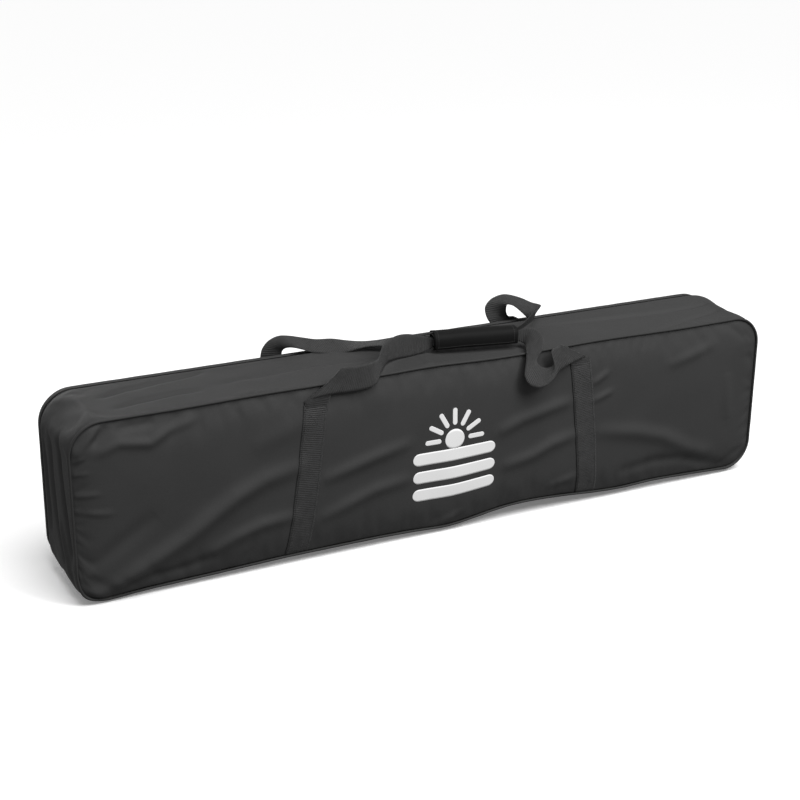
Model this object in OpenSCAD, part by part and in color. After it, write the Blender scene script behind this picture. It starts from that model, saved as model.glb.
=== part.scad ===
// Long padded carry bag for light tubes: a zipped fabric box with two webbing
// handles that a padded wrap holds together.
// Length runs along X, depth along Y with the handle side in front at -Y, height along Z.

/* [Body] */
// Length between the centres of the end pipings
bag_length = 1200; // [900:10:1500]
// Depth between the centres of the front and rear pipings
bag_depth = 154; // [120:1:220]
// Height between the centres of the lower and upper pipings
bag_height = 276; // [240:1:340]
// Radius of the four corners, at the centre of the piping
corner_r = 50; // [30:1:80]
// How far the soft base hangs below the piping
base_drop = 5; // [3:0.5:8]
// Thickness of the outer fabric
cloth_t = 1.2; // [0.8:0.1:2]
// Thickness of the padding in the walls
foam_t = 5; // [3:0.5:5]
// Thickness of the lining
lining_t = 0.5; // [0.3:0.1:1]
// Diameter of the piping cord
piping_d = 4; // [3:0.5:5]

/* [Webbing] */
// Width of the webbing
webbing_w = 38; // [25:1:40]
// Thickness of the webbing
webbing_t = 1.5; // [1:0.1:2]
// Place of the left strap along the bag, at its top
left_strap_top = -227; // [-300:1:-180]
// Place of the left strap along the bag, at its foot
left_strap_foot = -259; // [-320:1:-180]
// Place of the right strap along the bag, at its top
right_strap_top = 237; // [180:1:300]
// Place of the right strap along the bag, at its foot
right_strap_foot = 263; // [180:1:320]

/* [Zip] */
// Distance from the rear piping to the middle of the zip
zip_from_rear = 13; // [11:0.5:20]
// Width of one row of the zip's coil
coil_w = 2.4; // [2:0.1:3]
// Width of each zip tape
zip_tape_w = 11.6; // [11.6:0.2:16]
// Gap between the two rows of coil
coil_gap = 0.8; // [0.7:0.1:1]

/* [Handle wrap] */
// Length of the padded wrap
wrap_l = 138; // [110:1:160]
// Width of the wrap across the handles
wrap_w = 32; // [28:1:38]
// Height of the wrap
wrap_h = 22; // [20:1:26]
// Wall of the wrap
wrap_wall = 3.5; // [3:0.5:4]

/* [Hidden] */

$fn = 48;

// Colours
cloth_colour = [0.055, 0.055, 0.06];
lining_colour = [0.1, 0.1, 0.11];
foam_colour = [0.3, 0.3, 0.32];
webbing_colour = [0.035, 0.035, 0.04];
metal_colour = [0.12, 0.12, 0.13];

// Frame: the floor is z = 0, and the seam is the centre line of the piping
seam_y = bag_depth / 2;
seam_low = base_drop;
seam_high = base_drop + bag_height;
half_l = bag_length / 2;
straight_l = half_l - corner_r;
piping_r = piping_d / 2;
fit = 0.15;
flange_t = 0.8;
flange_w = 9;
far = 2 * bag_length;

// Layers of the gusset, as insets from the seam
cloth_in = cloth_t / 2;
foam_out = cloth_in + 0.8;
foam_in = foam_out + foam_t - 0.4;
lining_in = foam_in + 0.1;

// Layers of the front panel, from the outside in; the rear panel mirrors them
panel_out = seam_y + cloth_t;
panel_in = seam_y;
panel_foam_out = seam_y - 0.1;
panel_foam_in = panel_foam_out - foam_t;
panel_lining_out = panel_foam_in - 0.1;
panel_lining_in = panel_lining_out - lining_t;
flange_in = flange_w + 0.5;
gusset_edge = seam_y - piping_r - fit;

// Zip
zip_y = seam_y - zip_from_rear;
coil_h = 2;
zip_tape_t = 0.6;
zip_cloth_edge = zip_y - 5;
rim_edge = zip_y + 5;
slider_l = 13;
slider_w = 9;
slider_rest = 14;
plate_t = 0.9;

// Webbing
strap_y = panel_out + 0.1;
strap_foot_z = seam_low + piping_r + 1;
strap_top_z = 250;
thread = 0.6;

// Handle wrap: its middle, and its turn about Z
wrap_x = 72;
wrap_y = -27.5;
wrap_z = 300;
wrap_turn = -10.4;
grip_t = 5;
grip_h = 13;
grip_y = 6;

// Webbing routes: the middle of the webbing, then the vector from there to one edge.
// Each route starts or ends at a strap's top and at the wrap.
front_left_route = [
    [[-226, -80, 251.5], [19, 0, 0]],
    [[-223, -81, 262], [18, 0, -8]],
    [[-216, -83, 276], [14, 0, -16]],
    [[-203, -85, 286], [7, 0, -19]],
    [[-186, -87, 288], [2, 0, -19]],
    [[-163, -88, 288], [0, -1, -19]],
    [[-140, -87, 289], [-2, -2, -19]],
    [[-125, -82, 293], [-3, -4, -18]],
    [[-112, -70, 302], [-3, -6, -16]],
    [[-99, -54, 305], [-4, -7, -16]],
    [[-82, -38, 305], [-4, -5, -17]],
    [[-61, -27, 304], [-3, -4, -17]],
    [[-39, -21, 303], [-2, -4, -16]],
    [[-17, -20, 301], [-1, -2, -12]],
    [[1.4, -20.6, 300], [0, 0, -6.5]],
];
front_right_route = [
    [[141.3, -46.4, 300], [0, 0, 6.5]],
    [[150, -53, 300], [3, 5, 11]],
    [[154, -66, 299], [11, 8, 12]],
    [[152, -79, 295], [16, 5, 9]],
    [[148, -88, 285], [16, 4, 7]],
    [[143, -94, 272], [14, 4, 8]],
    [[139, -98, 259], [13, 4, 11]],
    [[142, -101, 249], [11, 4, 14]],
    [[153, -102, 243], [7, 4, 16]],
    [[167, -101, 244], [2, 4, 17]],
    [[181, -97, 253], [-3, 4, 18]],
    [[199, -91, 266], [-6, 3, 18]],
    [[217, -86, 272], [6, 1, 18]],
    [[231, -82, 266], [17, 0, 8]],
    [[237, -80, 251.5], [19, 0, 0]],
];
rear_left_route = [
    [[-227, 80, 251.5], [19, 0, 0]],
    [[-228, 81.5, 264], [19, 0, 0]],
    [[-228, 83, 280], [18, 0, -1]],
    [[-225, 83, 291], [16, -3, -3]],
    [[-217, 80, 299], [12, -9, -5]],
    [[-204, 77, 302], [8, -14, -7]],
    [[-190, 73, 300], [4, -17, -7]],
    [[-172, 69, 295], [1, -18, -7]],
    [[-152, 62, 292], [0, -19, -5]],
    [[-129, 55, 290], [0, -19, -3]],
    [[-106, 47, 290], [-1, -18, -2]],
    [[-86, 37, 292], [-2, -17, -2]],
    [[-64, 25, 295], [-3, -16, -3]],
    [[-42, 13, 298], [-3, -12, -6]],
    [[-18, 0, 299], [0, -6, -9]],
    [[1.4, -8.6, 300], [0, 0, -6.5]],
];
rear_right_route = [
    [[143.4, -34.6, 300], [0, 0, -6.5]],
    [[163, -22, 302], [-1, -8, -8]],
    [[188, -6, 303], [2, -12, -2]],
    [[209, 15, 303], [9, -9, 3]],
    [[222, 37, 305], [16, 0, 5]],
    [[226, 58, 310], [17, 8, 4]],
    [[221, 73, 314], [14, 12, 4]],
    [[210, 82, 317], [9, 16, 4]],
    [[198, 87, 317], [3, 18, 3]],
    [[187, 90, 314], [-4, 17, 2]],
    [[181, 91, 306], [-10, 15, 1]],
    [[180, 90, 296], [-15, 10, 1]],
    [[185, 87, 284], [-17, 4, -3]],
    [[200, 84, 272], [-13, 1, -13]],
    [[217, 82, 262], [-13, 0, -13]],
    [[231, 81, 258], [-18, 0, -5]],
    [[237, 80, 251.5], [-19, 0, 0]],
];

// ---- Shapes that repeat ----

// Outline of the bag seen from the front, inset from the seam
module outline(inset) {
    r = corner_r - inset;
    w = half_l - inset;
    low = seam_low + inset;
    high = seam_high - inset;
    translate([-w, low + r]) square([2 * w, high - low - 2 * r]);
    translate([-w + r, low]) square([2 * (w - r), high - low]);
    for (x = [-w + r, w - r], z = [low + r, high - r])
        translate([x, z]) circle(r);
}

// Extrudes a front-view shape from y0 to y1
module along_y(y0, y1) {
    translate([0, y1, 0]) rotate([90, 0, 0]) linear_extrude(y1 - y0) children();
}

// Plate with the bag's outline
module plate(inset, y0, y1) {
    along_y(y0, y1) outline(inset);
}

// Ring with the bag's outline
module ring(outer_inset, inner_inset, y0, y1) {
    along_y(y0, y1) difference() {
        outline(outer_inset);
        outline(inner_inset);
    }
}

// Leaves out the straight stretch along the base
module over_the_top() {
    difference() {
        children();
        translate([-straight_l - 0.3, -far / 2, -10])
            cube([2 * straight_l + 0.6, far, corner_r]);
    }
}

// Keeps the straight stretch along the top
module top_stretch() {
    intersection() {
        children();
        translate([-straight_l, -far / 2, seam_high - corner_r / 2])
            cube([2 * straight_l, far, corner_r]);
    }
}

// Keeps one rounded end; side is -1 or 1
module end_stretch(side) {
    intersection() {
        children();
        translate([side > 0 ? straight_l + 0.1 : -straight_l - 0.1 - far, -far / 2, -far / 2])
            cube([far, far, far]);
    }
}

// Piping cord round the outline, with the flange that is sewn into the seam.
// side is -1 in front and 1 at the rear.
module piping(side) {
    y = side * seam_y;
    for (z = [seam_low, seam_high])
        translate([-straight_l, y, z]) rotate([0, 90, 0]) cylinder(r = piping_r, h = 2 * straight_l);
    for (x = [-half_l, half_l])
        translate([x, y, seam_low + corner_r]) cylinder(r = piping_r, h = bag_height - 2 * corner_r);
    for (corner = [[1, 1, 0], [-1, 1, 90], [-1, -1, 180], [1, -1, 270]])
        translate([corner[0] * straight_l, y, corner[1] > 0 ? seam_high - corner_r : seam_low + corner_r])
            rotate([90, 0, 0])
                rotate([0, 0, corner[2]])
                    rotate_extrude(angle = 90) translate([corner_r, 0]) circle(r = piping_r, $fn = 24);
    flange_y = side < 0 ? -seam_y + 0.1 : seam_y - 0.1 - flange_t;
    ring(piping_r / 2, flange_w, flange_y, flange_y + flange_t);
}

// Flat strap that leans from its foot to its top; side is -1 in front and 1 at the rear
module strap(top_x, foot_x, side) {
    lean = atan((top_x - foot_x) / (strap_top_z - strap_foot_z));
    y0 = side < 0 ? -strap_y - webbing_t : strap_y;
    intersection() {
        translate([top_x, y0, strap_top_z]) rotate([0, lean, 0])
            translate([-webbing_w / 2, 0, -strap_top_z - 20]) cube([webbing_w, webbing_t, strap_top_z + 40]);
        translate([-far / 2, -far / 2, strap_foot_z]) cube([far, far, strap_top_z - strap_foot_z]);
    }
}

// Edge rows and a crossed box of thread on a strap
module strap_stitching(top_x, foot_x, side) {
    lean = atan((top_x - foot_x) / (strap_top_z - strap_foot_z));
    y0 = side < 0 ? -strap_y - webbing_t - 0.1 - thread / 2 : strap_y + webbing_t + 0.1;
    row_x = webbing_w / 2 - 3;
    box_h = 34;
    cross = atan(2 * row_x / box_h);
    diagonal = sqrt(4 * row_x * row_x + box_h * box_h);
    translate([top_x, y0, strap_top_z]) rotate([0, lean, 0]) {
        for (x = [-row_x, row_x])
            translate([x - thread / 2, 0, -strap_top_z + strap_foot_z + 6])
                cube([thread, thread / 2, strap_top_z - strap_foot_z - 12]);
        for (z = [-8 - box_h, -8])
            translate([-row_x, 0, z - thread / 2]) cube([2 * row_x, thread / 2, thread]);
        for (turn = [-cross, cross])
            translate([0, 0, -8 - box_h / 2]) rotate([0, turn, 0])
                translate([-thread / 2, 0, -diagonal / 2]) cube([thread, thread / 2, diagonal]);
    }
}

// Webbing swept along a route: four corners at each station, closed at both ends
function unit(v) = v / norm(v);
function heading(route, i) =
    unit(route[min(i + 1, len(route) - 1)][0] - route[max(i - 1, 0)][0]);
function face_normal(route, i) = unit(cross(heading(route, i), route[i][1]));
function station(route, i) =
    let (n = face_normal(route, i) * webbing_t / 2, p = route[i][0], h = route[i][1])
    [p - h - n, p + h - n, p + h + n, p - h + n];
module webbing(route) {
    last = len(route) - 1;
    points = [for (i = [0:last]) each station(route, i)];
    sides = [
        for (i = [0:last - 1], k = [0:3])
            let (a = 4 * i + k, b = 4 * i + (k + 1) % 4)
            each [[a, b, b + 4], [a, b + 4, a + 4]]
    ];
    ends = [[2, 1, 0], [3, 2, 0], [4 * last, 4 * last + 1, 4 * last + 2], [4 * last, 4 * last + 2, 4 * last + 3]];
    polyhedron(points, concat(sides, ends));
}

// Places a shape in the wrap's own frame
module at_wrap() {
    translate([wrap_x, wrap_y, wrap_z]) rotate([0, 0, wrap_turn]) children();
}

// Bar with round ends, lying along X, as a flat shape
module round_bar(l, w) {
    square([l - w, w], center = true);
    for (x = [-(l - w) / 2, (l - w) / 2])
        translate([x, 0]) circle(d = w);
}

// Rounded rectangle, centred
module soft_rect(w, h, r) {
    square([w - 2 * r, h], center = true);
    square([w, h - 2 * r], center = true);
    for (x = [-w / 2 + r, w / 2 - r], y = [-h / 2 + r, h / 2 - r])
        translate([x, y]) circle(r);
}

// ---- Bag ----

module front_panel() {
    color(cloth_colour) plate(piping_r + fit, -panel_out, -panel_in);
}

module front_foam() {
    color(foam_colour) plate(flange_in, -panel_foam_out, -panel_foam_in);
}

module front_lining() {
    color(lining_colour) plate(lining_in + lining_t, -panel_lining_out, -panel_lining_in);
}

module front_piping() {
    color(webbing_colour) piping(-1);
}

module front_seam_binding() {
    color(lining_colour) ring(lining_in + 0.8, flange_w + 0.3, -seam_y + 1.1, -panel_foam_in);
}

module gusset_ring() {
    ring(-cloth_in, cloth_in, -gusset_edge, zip_cloth_edge);
}

module top_gusset() {
    color(cloth_colour) top_stretch() gusset_ring();
}

module left_end_gusset() {
    color(cloth_colour) end_stretch(-1) gusset_ring();
}

module right_end_gusset() {
    color(cloth_colour) end_stretch(1) gusset_ring();
}

// Shallow tray: its floor is the face that the bag stands on
module tray(grow, low) {
    hull() {
        translate([-straight_l + 0.3 - grow, -gusset_edge + 0.3 - grow, seam_low + cloth_in])
            cube([2 * (straight_l - 0.3 + grow), 2 * (gusset_edge - 0.3 + grow), 0.01]);
        translate([-straight_l + 12 - grow, -gusset_edge + 9 - grow, low])
            cube([2 * (straight_l - 12 + grow), 2 * (gusset_edge - 9 + grow), 0.01]);
    }
}

module base_panel() {
    color(cloth_colour) difference() {
        tray(0, 0);
        tray(-cloth_t, cloth_t);
    }
}

module gusset_foam_ring() {
    ring(foam_out, foam_in, -seam_y + 6, zip_cloth_edge - 8);
}

module top_foam() {
    color(foam_colour) top_stretch() gusset_foam_ring();
}

module left_end_foam() {
    color(foam_colour) end_stretch(-1) gusset_foam_ring();
}

module right_end_foam() {
    color(foam_colour) end_stretch(1) gusset_foam_ring();
}

module base_foam() {
    color(foam_colour)
        translate([-straight_l + 16, -seam_y + 14, cloth_t + 0.2])
            cube([2 * straight_l - 32, bag_depth - 28, seam_low + lining_in - cloth_t - 0.4]);
}

module gusset_lining() {
    color(lining_colour) over_the_top()
        ring(lining_in, lining_in + lining_t, -panel_lining_in + 0.1, zip_cloth_edge - 7);
}

module base_lining() {
    color(lining_colour)
        translate([-straight_l, -panel_lining_in + 0.1, seam_low + lining_in])
            cube([2 * straight_l, 2 * panel_lining_in - 1, lining_t]);
}

module front_strap_left() {
    color(webbing_colour) strap(left_strap_top, left_strap_foot, -1);
}

module front_strap_right() {
    color(webbing_colour) strap(right_strap_top, right_strap_foot, -1);
}

module front_strap_stitching() {
    color(cloth_colour) {
        strap_stitching(left_strap_top, left_strap_foot, -1);
        strap_stitching(right_strap_top, right_strap_foot, -1);
    }
}

// Printed picture of three light tubes under a round lamp with rays
module front_print() {
    print_t = 0.2;
    tube_l = 146;
    tube_w = 21;
    tube_pitch = 31;
    lamp_z = 88;
    color([0.95, 0.95, 0.95])
        translate([8, 0, 72]) along_y(-panel_out - 0.1 - print_t, -panel_out - 0.1) {
            for (row = [0:2])
                translate([0, row * tube_pitch]) round_bar(tube_l, tube_w);
            translate([0, lamp_z]) circle(d = 34);
            for (turn = [0:30:180])
                translate([0, lamp_z]) rotate([0, 0, turn]) translate([38, 0]) round_bar(28, 8);
        }
}

module zip_tape_bag() {
    color(webbing_colour) over_the_top()
        ring(cloth_in + 0.1, cloth_in + 0.1 + zip_tape_t, zip_y - coil_gap / 2 - zip_tape_w, zip_y - coil_gap / 2);
}

module zip_coil_bag() {
    color(metal_colour) over_the_top()
        ring(cloth_in - coil_h, cloth_in, zip_y - coil_gap / 2 - coil_w, zip_y - coil_gap / 2);
}

// Small stops across the coil at both lower ends
module zip_end_stops() {
    color(metal_colour)
        for (side = [-1, 1])
            translate([side * (straight_l + 4) - 2.5, zip_y - 4, seam_low + cloth_in - coil_h - 1.1])
                cube([5, 8, 1]);
}

// ---- Lid ----

module rear_panel() {
    color(cloth_colour) plate(piping_r + fit, panel_in, panel_out);
}

module rear_foam() {
    color(foam_colour) plate(flange_in, panel_foam_in, panel_foam_out);
}

module rear_lining() {
    color(lining_colour) plate(lining_in + lining_t, panel_lining_in, panel_lining_out);
}

module rear_piping() {
    color(webbing_colour) piping(1);
}

module rear_seam_binding() {
    color(lining_colour) ring(lining_in + 0.8, flange_w + 0.3, panel_foam_in, seam_y - 1.1);
}

module lid_rim() {
    color(cloth_colour) over_the_top() ring(-cloth_in, cloth_in, rim_edge, gusset_edge);
}

module zip_tape_lid() {
    color(webbing_colour) over_the_top()
        ring(cloth_in + 0.1, cloth_in + 0.1 + zip_tape_t, zip_y + coil_gap / 2, gusset_edge - 0.6);
}

module zip_coil_lid() {
    color(metal_colour) over_the_top()
        ring(cloth_in - coil_h, cloth_in, zip_y + coil_gap / 2, zip_y + coil_gap / 2 + coil_w);
}

module rear_strap_left() {
    color(webbing_colour) strap(left_strap_top, left_strap_foot, 1);
}

module rear_strap_right() {
    color(webbing_colour) strap(right_strap_top, right_strap_foot, 1);
}

module rear_strap_stitching() {
    color(cloth_colour) {
        strap_stitching(left_strap_top, left_strap_foot, 1);
        strap_stitching(right_strap_top, right_strap_foot, 1);
    }
}

// ---- Zip sliders ----

// Two plates joined by a thin web between the coils, with a bail on top
module slider(x) {
    top = seam_high + coil_h - cloth_in + 0.4;
    low = seam_high - cloth_in - zip_tape_t - 0.5;
    bail_w = 2.4;
    color(metal_colour) translate([x, zip_y, 0]) {
        translate([-slider_l / 2, -slider_w / 2, top]) cube([slider_l, slider_w, plate_t]);
        translate([-slider_l / 2, -slider_w / 2, low - plate_t]) cube([slider_l, slider_w, plate_t]);
        translate([-slider_l / 2, -0.25, low - plate_t / 2]) cube([5, 0.5, top - low + plate_t]);
        for (foot_x = [-4.5, 3])
            translate([foot_x, -bail_w / 2, top]) cube([1.5, bail_w, plate_t + 3.2]);
        translate([-4.5, -bail_w / 2, top + plate_t + 2.4]) cube([9, bail_w, 0.8]);
    }
}

// Flat tab with an eye round the slider's bail; turns about a bar through the bail
module pull_tab(x, side) {
    bar_z = seam_high + coil_h - cloth_in + 0.4 + plate_t + 1.3;
    tab_w = 8;
    tab_t = 1.2;
    eye_l = 6;
    color(metal_colour) translate([x, zip_y, bar_z]) {
        rotate([90, 0, 0]) cylinder(d = 1.4, h = tab_w, center = true);
        for (y = [-tab_w / 2, tab_w / 2 - 2.4])
            translate([side > 0 ? 0 : -eye_l, y, -tab_t / 2]) cube([eye_l, 2.4, tab_t]);
        translate([side > 0 ? eye_l : -eye_l - 24, 0, -tab_t / 2]) linear_extrude(tab_t) difference() {
            translate([12, 0]) soft_rect(24, tab_w, 2);
            translate([side > 0 ? 19 : 5, 0]) circle(d = 3);
        }
    }
}

module left_slider() {
    slider(-slider_rest);
}

module right_slider() {
    slider(slider_rest);
}

module left_pull_tab() {
    pull_tab(-slider_rest, -1);
}

module right_pull_tab() {
    pull_tab(slider_rest, 1);
}

// ---- Handles ----

module front_loop_left() {
    color(webbing_colour) webbing(front_left_route);
}

module front_loop_right() {
    color(webbing_colour) webbing(front_right_route);
}

// The webbing is folded to a bundle where it runs through the wrap
module grip(side) {
    color(webbing_colour) at_wrap()
        translate([0, side * grip_y, 0])
            cube([wrap_l + 2, grip_t, grip_h], center = true);
}

module front_grip() {
    grip(-1);
}

module handle_wrap() {
    slot_w = 7;
    color(cloth_colour) at_wrap()
        rotate([90, 0, 90]) linear_extrude(wrap_l, center = true) difference() {
            soft_rect(wrap_w, wrap_h, 9);
            soft_rect(wrap_w - 2 * wrap_wall, wrap_h - 2 * wrap_wall, 6);
            translate([-slot_w / 2, 0]) square([slot_w, wrap_h]);
        }
}

module wrap_hook_strip() {
    color(webbing_colour) at_wrap()
        translate([-wrap_l / 2 + 6, -wrap_w / 2 + 6, wrap_h / 2 + 0.1])
            cube([wrap_l - 12, 6, 0.8]);
}

module wrap_flap() {
    color(cloth_colour) at_wrap()
        translate([0, 0, wrap_h / 2 + 2]) linear_extrude(1.6) soft_rect(wrap_l, wrap_w - 6, 4);
}

module wrap_loop_strip() {
    color(webbing_colour) at_wrap()
        translate([-wrap_l / 2 + 6, -wrap_w / 2 + 6, wrap_h / 2 + 1.1])
            cube([wrap_l - 12, 6, 0.8]);
}

module rear_loop_left() {
    color(webbing_colour) webbing(rear_left_route);
}

module rear_loop_right() {
    color(webbing_colour) webbing(rear_right_route);
}

module rear_grip() {
    grip(1);
}

// ---- Build ----

front_panel();
front_foam();
front_lining();
front_piping();
front_seam_binding();
top_gusset();
left_end_gusset();
right_end_gusset();
base_panel();
top_foam();
left_end_foam();
right_end_foam();
base_foam();
gusset_lining();
base_lining();
front_strap_left();
front_strap_right();
front_strap_stitching();
front_print();
zip_tape_bag();
zip_coil_bag();
zip_end_stops();
rear_panel();
rear_foam();
rear_lining();
rear_piping();
rear_seam_binding();
lid_rim();
zip_tape_lid();
zip_coil_lid();
rear_strap_left();
rear_strap_right();
rear_strap_stitching();
left_slider();
right_slider();
left_pull_tab();
right_pull_tab();
front_loop_left();
front_loop_right();
front_grip();
handle_wrap();
wrap_hook_strip();
wrap_flap();
wrap_loop_strip();
rear_loop_left();
rear_loop_right();
rear_grip();
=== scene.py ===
import math

import bpy
import numpy as np
from mathutils import Euler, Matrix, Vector
from mathutils.bvhtree import BVHTree


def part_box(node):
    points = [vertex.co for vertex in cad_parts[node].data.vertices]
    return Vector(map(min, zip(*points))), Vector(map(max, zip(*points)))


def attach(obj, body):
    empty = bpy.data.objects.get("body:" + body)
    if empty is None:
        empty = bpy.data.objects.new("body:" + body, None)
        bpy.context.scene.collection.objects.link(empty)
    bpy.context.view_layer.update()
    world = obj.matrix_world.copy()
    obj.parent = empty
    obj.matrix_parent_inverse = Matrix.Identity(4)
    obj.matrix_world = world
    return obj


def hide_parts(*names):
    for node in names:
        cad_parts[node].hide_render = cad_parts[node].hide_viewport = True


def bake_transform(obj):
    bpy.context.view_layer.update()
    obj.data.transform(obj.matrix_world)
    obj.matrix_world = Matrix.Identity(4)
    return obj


# Long padded carry bag for light tubes: soft walls, piping, a zip beside the rear piping,
# and two webbing handles that a padded wrap holds together.

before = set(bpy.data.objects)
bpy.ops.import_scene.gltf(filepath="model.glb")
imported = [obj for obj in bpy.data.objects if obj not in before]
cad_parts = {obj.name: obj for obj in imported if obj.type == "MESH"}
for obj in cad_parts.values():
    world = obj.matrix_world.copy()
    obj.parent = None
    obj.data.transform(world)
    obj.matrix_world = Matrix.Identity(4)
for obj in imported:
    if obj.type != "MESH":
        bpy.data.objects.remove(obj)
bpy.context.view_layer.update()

MM = 0.001

# ---- Sizes from the frame ----

pipe_low, pipe_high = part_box("front_piping")
CORD_R = (pipe_high.y - pipe_low.y) / 2
SEAM_Y = -(pipe_high.y + pipe_low.y) / 2
SEAM_LOW = pipe_low.z + CORD_R
SEAM_HIGH = pipe_high.z - CORD_R
HALF_L = pipe_high.x - CORD_R
BAG_H = SEAM_HIGH - SEAM_LOW
CORNER_R = 50 * MM
STRAIGHT_L = HALF_L - CORNER_R
SIDE_H = BAG_H - 2 * CORNER_R
ARC = CORNER_R * math.pi / 2
U_LENGTH = 4 * ARC + 2 * SIDE_H + 2 * STRAIGHT_L
LOOP_LENGTH = U_LENGTH + 2 * STRAIGHT_L

CLOTH_T = 1.2 * MM
LINING_T = 0.6 * MM
WEBBING_T = 1.5 * MM
WALL = 7 * MM

zip_low, zip_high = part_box("zip_coil_bag")
zip_lid_low, zip_lid_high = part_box("zip_coil_lid")
ZIP_Y = (zip_high.y + zip_lid_low.y) / 2
CLOTH_EDGE_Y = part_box("top_gusset")[1].y
RIM_EDGE_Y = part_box("lid_rim")[0].y
# Outer cloth starts this far in from a seam line, and this far inside the seam's own level
SEAM_GAP = 1.0 * MM
SEAM_DIP = 2.2 * MM


# ---- Curves and fields ----

def smooth(t):
    t = np.clip(t, 0, 1)
    return t * t * (3 - 2 * t)


def soft_line(points, x, blur=28):
    """Height in metres of a soft line near given (place, height) points in millimetres."""
    places = [p[0] for p in points]
    heights = [p[1] for p in points]
    spots = [(-1.5, 0.11), (-0.75, 0.22), (0, 0.34), (0.75, 0.22), (1.5, 0.11)]
    return sum(share * np.interp(x / MM + step * blur, places, heights) for step, share in spots) * MM


def inset(x, z):
    """Distance in from the seam line, seen from the front."""
    qx = np.abs(x) - STRAIGHT_L
    qz = np.abs(z - (SEAM_LOW + SEAM_HIGH) / 2) - (BAG_H / 2 - CORNER_R)
    outside = np.hypot(np.maximum(qx, 0), np.maximum(qz, 0))
    return CORNER_R - outside - np.minimum(np.maximum(qx, qz), 0)


def loop_point(s):
    """Point and outward direction on the seam line, from the lower left corner clockwise."""
    s = np.asarray(s, float) % LOOP_LENGTH
    x, z, nx, nz = (np.zeros_like(s) for _ in range(4))
    low, high = SEAM_LOW + CORNER_R, SEAM_HIGH - CORNER_R
    start = 0.0
    corners = {0: (-STRAIGHT_L, low, -90), 2: (-STRAIGHT_L, high, 180),
               4: (STRAIGHT_L, high, 90), 6: (STRAIGHT_L, low, 0)}
    straights = {1: ((-HALF_L, low), (0, 1), (-1, 0)), 3: ((-STRAIGHT_L, SEAM_HIGH), (1, 0), (0, 1)),
                 5: ((HALF_L, high), (0, -1), (1, 0)), 7: ((STRAIGHT_L, SEAM_LOW), (-1, 0), (0, -1))}
    lengths = [ARC, SIDE_H, ARC, 2 * STRAIGHT_L, ARC, SIDE_H, ARC, 2 * STRAIGHT_L]
    for k, length in enumerate(lengths):
        here = (s >= start) & (s <= start + length + 1e-9)
        along = s[here] - start
        if k in corners:
            cx, cz, first = corners[k]
            angle = np.radians(first) - along / CORNER_R
            nx[here] = np.cos(angle)
            nz[here] = np.sin(angle)
            x[here] = cx + CORNER_R * nx[here]
            z[here] = cz + CORNER_R * nz[here]
        else:
            point, way, out = straights[k]
            x[here] = point[0] + way[0] * along
            z[here] = point[1] + way[1] * along
            nx[here] = out[0]
            nz[here] = out[1]
        start += length
    return x, z, nx, nz


# Rise in millimetres, along the bag, of the lower front seam, the upper front seam and the lower rear seam
LOWER_RISE = [
    (-600, 0), (-560, 0), (-500, 4), (-390, 6), (-280, 9), (-120, 9), (-50, 7), (5, 3), (50, 9), (80, 14),
    (112, 18), (155, 19), (215, 16), (280, 10), (340, 7), (395, 10), (495, 6), (565, 2), (600, 0),
]
UPPER_FRONT = [
    (-600, 0), (-430, 0), (-320, 2), (-110, 1), (-25, 3), (60, -1), (127, -2), (278, 1), (440, -2), (600, -1),
]
LOWER_REAR = [(-600, 0), (-300, 1), (0, 0), (250, 2), (450, 0), (600, 0)]
LOWER_LEFT_CORNER = (-HALF_L + 15 * MM, SEAM_LOW + 15 * MM)
CORNER_PUSH = 6 * MM
CORNER_REACH = 22 * MM
END_LEAN = 1 * MM


def sag(points):
    """Moves points of the neat box to where the soft bag holds them."""
    p = np.array(points, float)
    x, y, z = p[..., 0], p[..., 1], p[..., 2]
    front = smooth((0.045 - y) / 0.11)
    rear = 1 - front
    high = np.clip((z - SEAM_LOW) / BAG_H, 0, 1)
    lift = front * soft_line(LOWER_RISE, x, 20) + rear * soft_line(LOWER_REAR, x)
    crest = front * soft_line(UPPER_FRONT, x)
    cx, cz = LOWER_LEFT_CORNER
    push = CORNER_PUSH * front * np.exp(-((x - cx) ** 2 + (z - cz) ** 2) / CORNER_REACH ** 2)
    lean = front * END_LEAN * np.sign(x) * smooth((np.abs(x) - 0.5) / 0.1) * (1 - high)
    out = p.copy()
    out[..., 0] = x - push * 0.7 - lean
    out[..., 2] = z + lift * (1 - high) ** 2 + crest * high ** 2 - push * 0.7
    return out


# Every fold's height and half width are given before these two factors
FOLD_SCALE = 2.1
FOLD_WIDTH = 0.82


def folds_at(px, pz, folds):
    """Height of a set of soft folds; each is (route in mm, height in mm, half width in mm)."""
    total = np.zeros_like(px)
    for route, height, width in folds:
        pts = np.array(route, float) * MM
        steps = np.hypot(*np.diff(pts, axis=0).T)
        reach = np.concatenate([[0], np.cumsum(steps)])
        best = np.full_like(px, 1e9)
        where = np.zeros_like(px)
        for k, step in enumerate(steps):
            a, way = pts[k], (pts[k + 1] - pts[k]) / step
            along = np.clip((px - a[0]) * way[0] + (pz - a[1]) * way[1], 0, step)
            gap = np.hypot(px - a[0] - way[0] * along, pz - a[1] - way[1] * along)
            nearer = gap < best
            best = np.where(nearer, gap, best)
            where = np.where(nearer, reach[k] + along, where)
        share = where / reach[-1]
        taper = 0.25 + 0.75 * np.sqrt(np.clip(np.sin(np.pi * share), 0, 1))
        total += FOLD_SCALE * height * MM * taper * np.exp(-(best / (FOLD_WIDTH * width * MM)) ** 2)
    return total


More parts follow.
